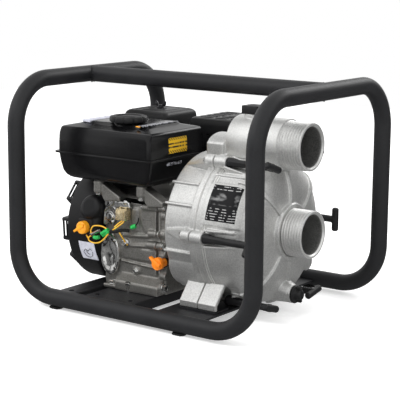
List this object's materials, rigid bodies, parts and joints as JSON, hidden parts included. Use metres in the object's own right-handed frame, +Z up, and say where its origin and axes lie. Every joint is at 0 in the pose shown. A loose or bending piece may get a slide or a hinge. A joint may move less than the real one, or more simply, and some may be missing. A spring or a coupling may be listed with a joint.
{
  "type": "gas engine trash pump",
  "caption": "Engine-driven self-priming trash pump in a bent tube roll cage, with two threaded ports facing forward and hand bolts that release the pump's front for cleaning.",
  "frame": {"origin": "on the floor, under the middle of the cage", "axes": "+Z up, +X towards the pump ports, -Y towards the engine's oil-fill and switch side; the crankshaft runs along X"},
  "size_m": [0.572, 0.4638, 0.4361],
  "materials": {
    "frame_paint": "fine textured satin charcoal powder coat",
    "black_paint": "semi-gloss black stove enamel",
    "black_plastic": "matt moulded black",
    "rubber": "dull black rubber",
    "cast_alloy": "grainy die-cast silver",
    "case_alloy": "darker sand-textured casting",
    "steel": "turned and zinc-plated steel",
    "cast_iron": "rough cast iron",
    "brass": "yellow-passivated steel box",
    "orange_plastic": "bright orange moulding",
    "yellow_wire": "yellow cable sheath",
    "label": "black printed plate"
  },
  "bodies": {
    "frame": {"frame_front_hoop": "frame_paint", "frame_rear_hoop": "frame_paint", "frame_rail_near": "frame_paint", "frame_rail_far": "frame_paint", "frame_top_bar": "frame_paint", "pad_near_rear": "rubber", "pad_near_front": "rubber", "pad_far_rear": "rubber", "pad_far_front": "rubber", "rear_crossmember": "frame_paint", "engine_plate": "frame_paint", "pump_crossmember": "frame_paint", "crankcase": "case_alloy", "crankcase_cover": "case_alloy", "cylinder_barrel": "cast_alloy", "cylinder_head": "cast_alloy", "rocker_cover": "cast_alloy", "piston": "cast_alloy", "fan_shroud": "black_paint", "recoil_cover": "black_plastic", "fuel_tank": "black_paint", "air_cleaner_base": "black_plastic", "carburettor": "cast_alloy", "muffler": "cast_iron", "heat_shield": "black_paint", "oil_level_unit": "brass", "switch_lead": "yellow_wire", "spark_lead": "rubber", "spark_cap": "rubber", "rear_casing": "cast_alloy", "mechanical_seal": "steel", "casing_gasket": "rubber", "volute": "cast_iron"},
    "rotor": {"crankshaft": "steel", "flywheel": "cast_iron", "impeller": "cast_iron"},
    "camshaft": {"camshaft": "steel"},
    "starter": {"starter_grip": "rubber", "starter_rope": "rubber"},
    "fuel_cap": {"fuel_cap": "black_plastic"},
    "air_cleaner_lid": {"air_cleaner_cover": "black_plastic"},
    "wing_nut": {"wing_nut": "steel"},
    "switch": {"ignition_switch": "orange_plastic"},
    "dipstick": {"oil_dipstick": "orange_plastic"},
    "throttle": {"throttle_lever": "steel"},
    "choke": {"choke_lever": "black_plastic"},
    "fuel_valve": {"fuel_valve_lever": "black_plastic"},
    "pump_front": {"front_casing": "cast_alloy", "suction_port": "cast_alloy", "discharge_pipe": "cast_alloy", "spec_label": "label"},
    "fill_plug": {"fill_plug": "black_plastic"},
    "drain_plug": {"drain_plug": "black_plastic"},
    "flap_valve": {"flap_valve": "rubber"},
    "t_bolt_1": {"t_bolt_1": "black_plastic"},
    "t_bolt_2": {"t_bolt_2": "black_plastic"},
    "t_bolt_3": {"t_bolt_3": "black_plastic"},
    "t_bolt_4": {"t_bolt_4": "black_plastic"},
    "t_bolt_5": {"t_bolt_5": "black_plastic"},
    "t_bolt_6": {"t_bolt_6": "black_plastic"}
  },
  "joints": [
    {"name": "crank_spin", "type": "hinge", "parent": "frame", "child": "rotor", "pos_m": [0, 0, 0.13], "axis": [1, 0, 0], "continuous": true},
    {"name": "cam_spin", "type": "hinge", "parent": "frame", "child": "camshaft", "pos_m": [0, -0.02, 0.0897], "axis": [1, 0, 0], "continuous": true},
    {"name": "starter_pull", "type": "slide", "parent": "frame", "child": "starter", "axis": [-1, 0, 0], "range_m": [0, 0.08]},
    {"name": "fuel_cap_turn", "type": "hinge", "parent": "frame", "child": "fuel_cap", "pos_m": [-0.113, -0.075, 0.348], "axis": [0, 0, 1], "range_deg": [0, 90]},
    {"name": "air_cleaner_lift", "type": "slide", "parent": "frame", "child": "air_cleaner_lid", "axis": [0, 0, 1], "range_m": [0, 0.05]},
    {"name": "wing_nut_turn", "type": "hinge", "parent": "air_cleaner_lid", "child": "wing_nut", "pos_m": [-0.18, 0.11, 0.354], "axis": [0, 0, 1], "continuous": true},
    {"name": "switch_turn", "type": "hinge", "parent": "frame", "child": "switch", "pos_m": [-0.189, -0.116, 0.137], "axis": [0, 1, 0], "range_deg": [0, 45]},
    {"name": "dipstick_turn", "type": "hinge", "parent": "frame", "child": "dipstick", "pos_m": [-0.016, -0.105, 0.088], "axis": [0, 1, 0], "continuous": true},
    {"name": "throttle_swing", "type": "hinge", "parent": "frame", "child": "throttle", "pos_m": [-0.119, 0.054, 0.236], "axis": [-1, 0, 0], "range_deg": [0, 35]},
    {"name": "choke_swing", "type": "hinge", "parent": "frame", "child": "choke", "pos_m": [-0.186, 0.101, 0.23], "axis": [1, 0, 0], "range_deg": [0, 40]},
    {"name": "fuel_valve_swing", "type": "hinge", "parent": "frame", "child": "fuel_valve", "pos_m": [-0.175, 0.143, 0.23], "axis": [0, 1, 0], "range_deg": [-40, 0]},
    {"name": "clean_out_slide", "type": "slide", "parent": "frame", "child": "pump_front", "axis": [1, 0, 0], "range_m": [0, 0.12]},
    {"name": "fill_plug_turn", "type": "hinge", "parent": "pump_front", "child": "fill_plug", "pos_m": [0.122, 0, 0.37], "axis": [0, 0, 1], "continuous": true},
    {"name": "drain_plug_turn", "type": "hinge", "parent": "pump_front", "child": "drain_plug", "pos_m": [0.215, 0, 0.045], "axis": [1, 0, 0], "continuous": true},
    {"name": "flap_valve_open", "type": "hinge", "parent": "pump_front", "child": "flap_valve", "pos_m": [0.195, 0, 0.2084], "axis": [0, 1, 0], "range_deg": [0, 30]},
    {"name": "t_bolt_1_turn", "type": "hinge", "parent": "pump_front", "child": "t_bolt_1", "pos_m": [0.117, 0.147, 0.1605], "axis": [1, 0, 0], "continuous": true},
    {"name": "t_bolt_2_turn", "type": "hinge", "parent": "pump_front", "child": "t_bolt_2", "pos_m": [0.117, 0.0735, 0.28781], "axis": [1, 0, 0], "continuous": true},
    {"name": "t_bolt_3_turn", "type": "hinge", "parent": "pump_front", "child": "t_bolt_3", "pos_m": [0.117, -0.0735, 0.28781], "axis": [1, 0, 0], "continuous": true},
    {"name": "t_bolt_4_turn", "type": "hinge", "parent": "pump_front", "child": "t_bolt_4", "pos_m": [0.117, -0.147, 0.1605], "axis": [1, 0, 0], "continuous": true},
    {"name": "t_bolt_5_turn", "type": "hinge", "parent": "pump_front", "child": "t_bolt_5", "pos_m": [0.117, -0.0735, 0.03319], "axis": [1, 0, 0], "continuous": true},
    {"name": "t_bolt_6_turn", "type": "hinge", "parent": "pump_front", "child": "t_bolt_6", "pos_m": [0.117, 0.0735, 0.03319], "axis": [1, 0, 0], "continuous": true}
  ],
  "couplings": [
    {"joint": "cam_spin", "follows": "crank_spin", "ratio": -0.5}
  ]
}
